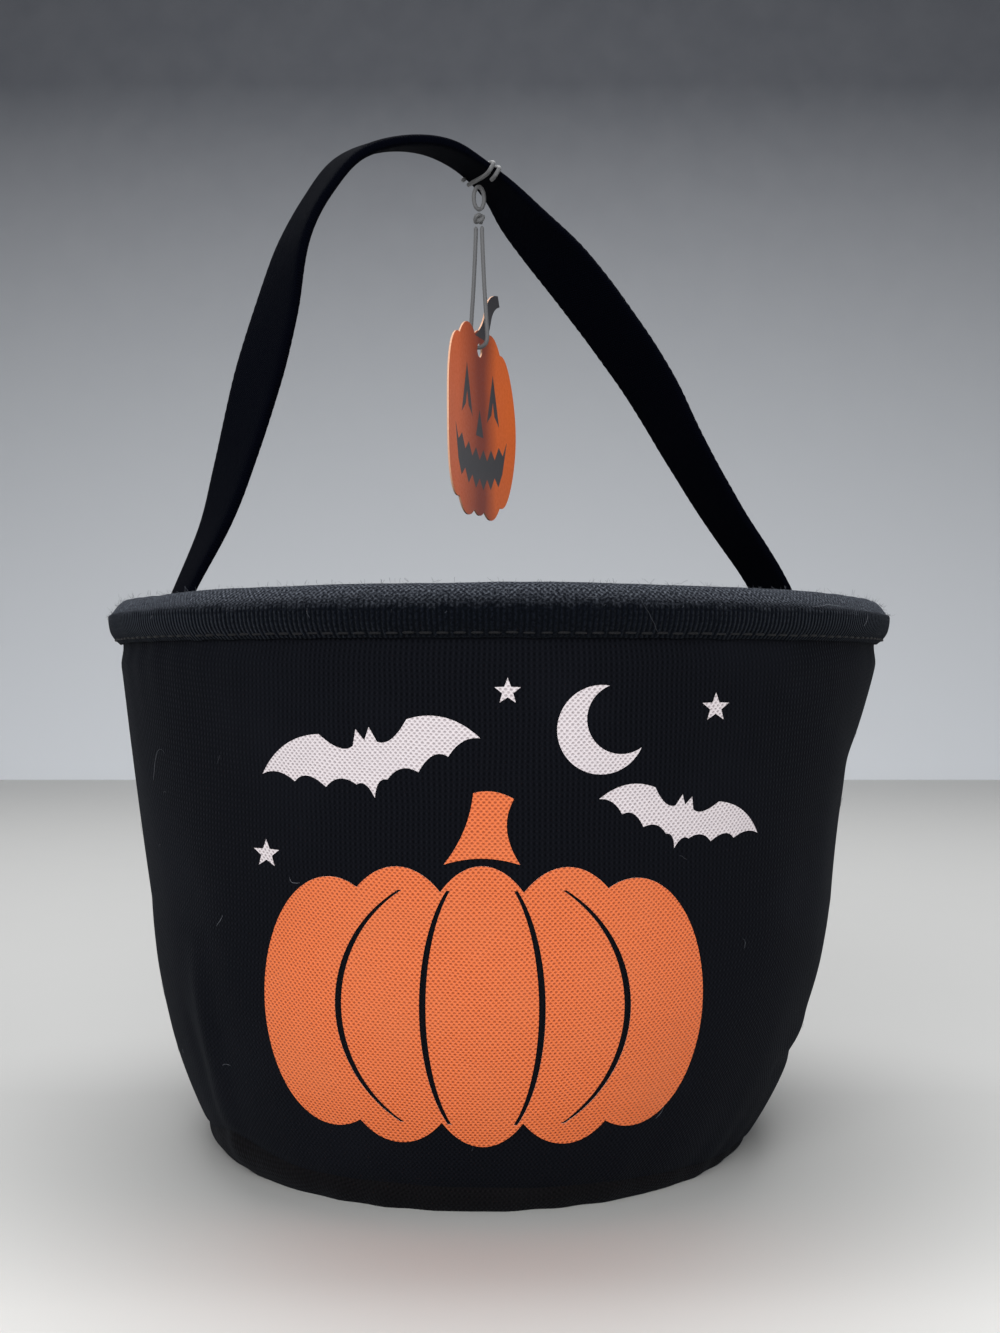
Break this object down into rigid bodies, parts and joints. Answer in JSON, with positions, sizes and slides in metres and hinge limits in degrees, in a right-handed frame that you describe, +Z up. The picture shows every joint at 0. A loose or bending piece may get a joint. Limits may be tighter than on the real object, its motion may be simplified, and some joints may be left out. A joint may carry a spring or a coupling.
{
  "type": "halloween bucket",
  "caption": "Round canvas halloween bucket with a hooped rim, a strap loop handle, a printed pumpkin front and a pumpkin hang tag on a string.",
  "frame": {"origin": "on the floor under the middle of the rim", "axes": "+Z up, print facing -Y, +X to the right of someone looking at the print"},
  "size_m": [0.2296, 0.2296, 0.294],
  "materials": {
    "black_canvas": "plain-weave cotton canvas, matt black",
    "black_strap": "folded canvas strap, matt black",
    "black_thread": "black sewing thread",
    "stiffening_felt": "needled felt",
    "lining_cloth": "thin black lining",
    "base_board": "grey-brown board",
    "hoop_plastic": "extruded plastic rod",
    "orange_film": "heat-pressed orange film",
    "white_film": "heat-pressed off-white film",
    "tag_card": "glossy printed card",
    "tag_string": "off-white waxed cord",
    "bead_plastic": "dark green gloss"
  },
  "bodies": {
    "bucket": {"outer_wall": "black_canvas", "wall_interlining": "stiffening_felt", "wall_lining": "lining_cloth", "outer_base": "black_canvas", "base_board": "base_board", "base_lining": "lining_cloth", "rim_hem": "black_canvas", "rim_hoop": "hoop_plastic", "hoop_joiner": "hoop_plastic", "hem_stitching": "black_thread", "back_seam_stitching": "black_thread", "strap_tab_left": "black_strap", "strap_tab_right": "black_strap", "tab_stitching_left": "black_thread", "tab_stitching_right": "black_thread", "print_pumpkin": "orange_film", "print_stem": "orange_film", "print_bat_large": "white_film", "print_bat_small": "white_film", "print_moon": "white_film", "print_star_left": "white_film", "print_star_middle": "white_film", "print_star_right": "white_film"},
    "handle": {"handle_strap": "black_strap", "string_winding": "tag_string", "string_bead": "bead_plastic"},
    "tag_bight": {"string_bight": "tag_string"},
    "tag_knot": {"string_knot": "tag_string"},
    "hang_tag": {"string_loop": "tag_string", "tag_card": "tag_card"}
  },
  "joints": [
    {"name": "handle_swing", "type": "hinge", "parent": "bucket", "child": "handle", "pos_m": [0, 0, 0.158], "axis": [0.9063, 0.4226, 0], "range_deg": [-78, 78], "stiffness_Nm_per_rad": 0.06},
    {"name": "tag_swing", "type": "hinge", "parent": "handle", "child": "tag_bight", "pos_m": [-0.00648, -0.0028, 0.28116], "axis": [0.9063, 0.4226, 0], "range_deg": [-20, 20]},
    {"name": "tag_sway", "type": "hinge", "parent": "tag_bight", "child": "tag_knot", "pos_m": [-0.00648, -0.0028, 0.27636], "axis": [-0.4226, 0.9063, 0], "range_deg": [-20, 20]},
    {"name": "tag_turn", "type": "hinge", "parent": "tag_knot", "child": "hang_tag", "pos_m": [-0.00648, -0.0028, 0.27171], "axis": [0, 0, 1], "range_deg": [-180, 180]}
  ]
}
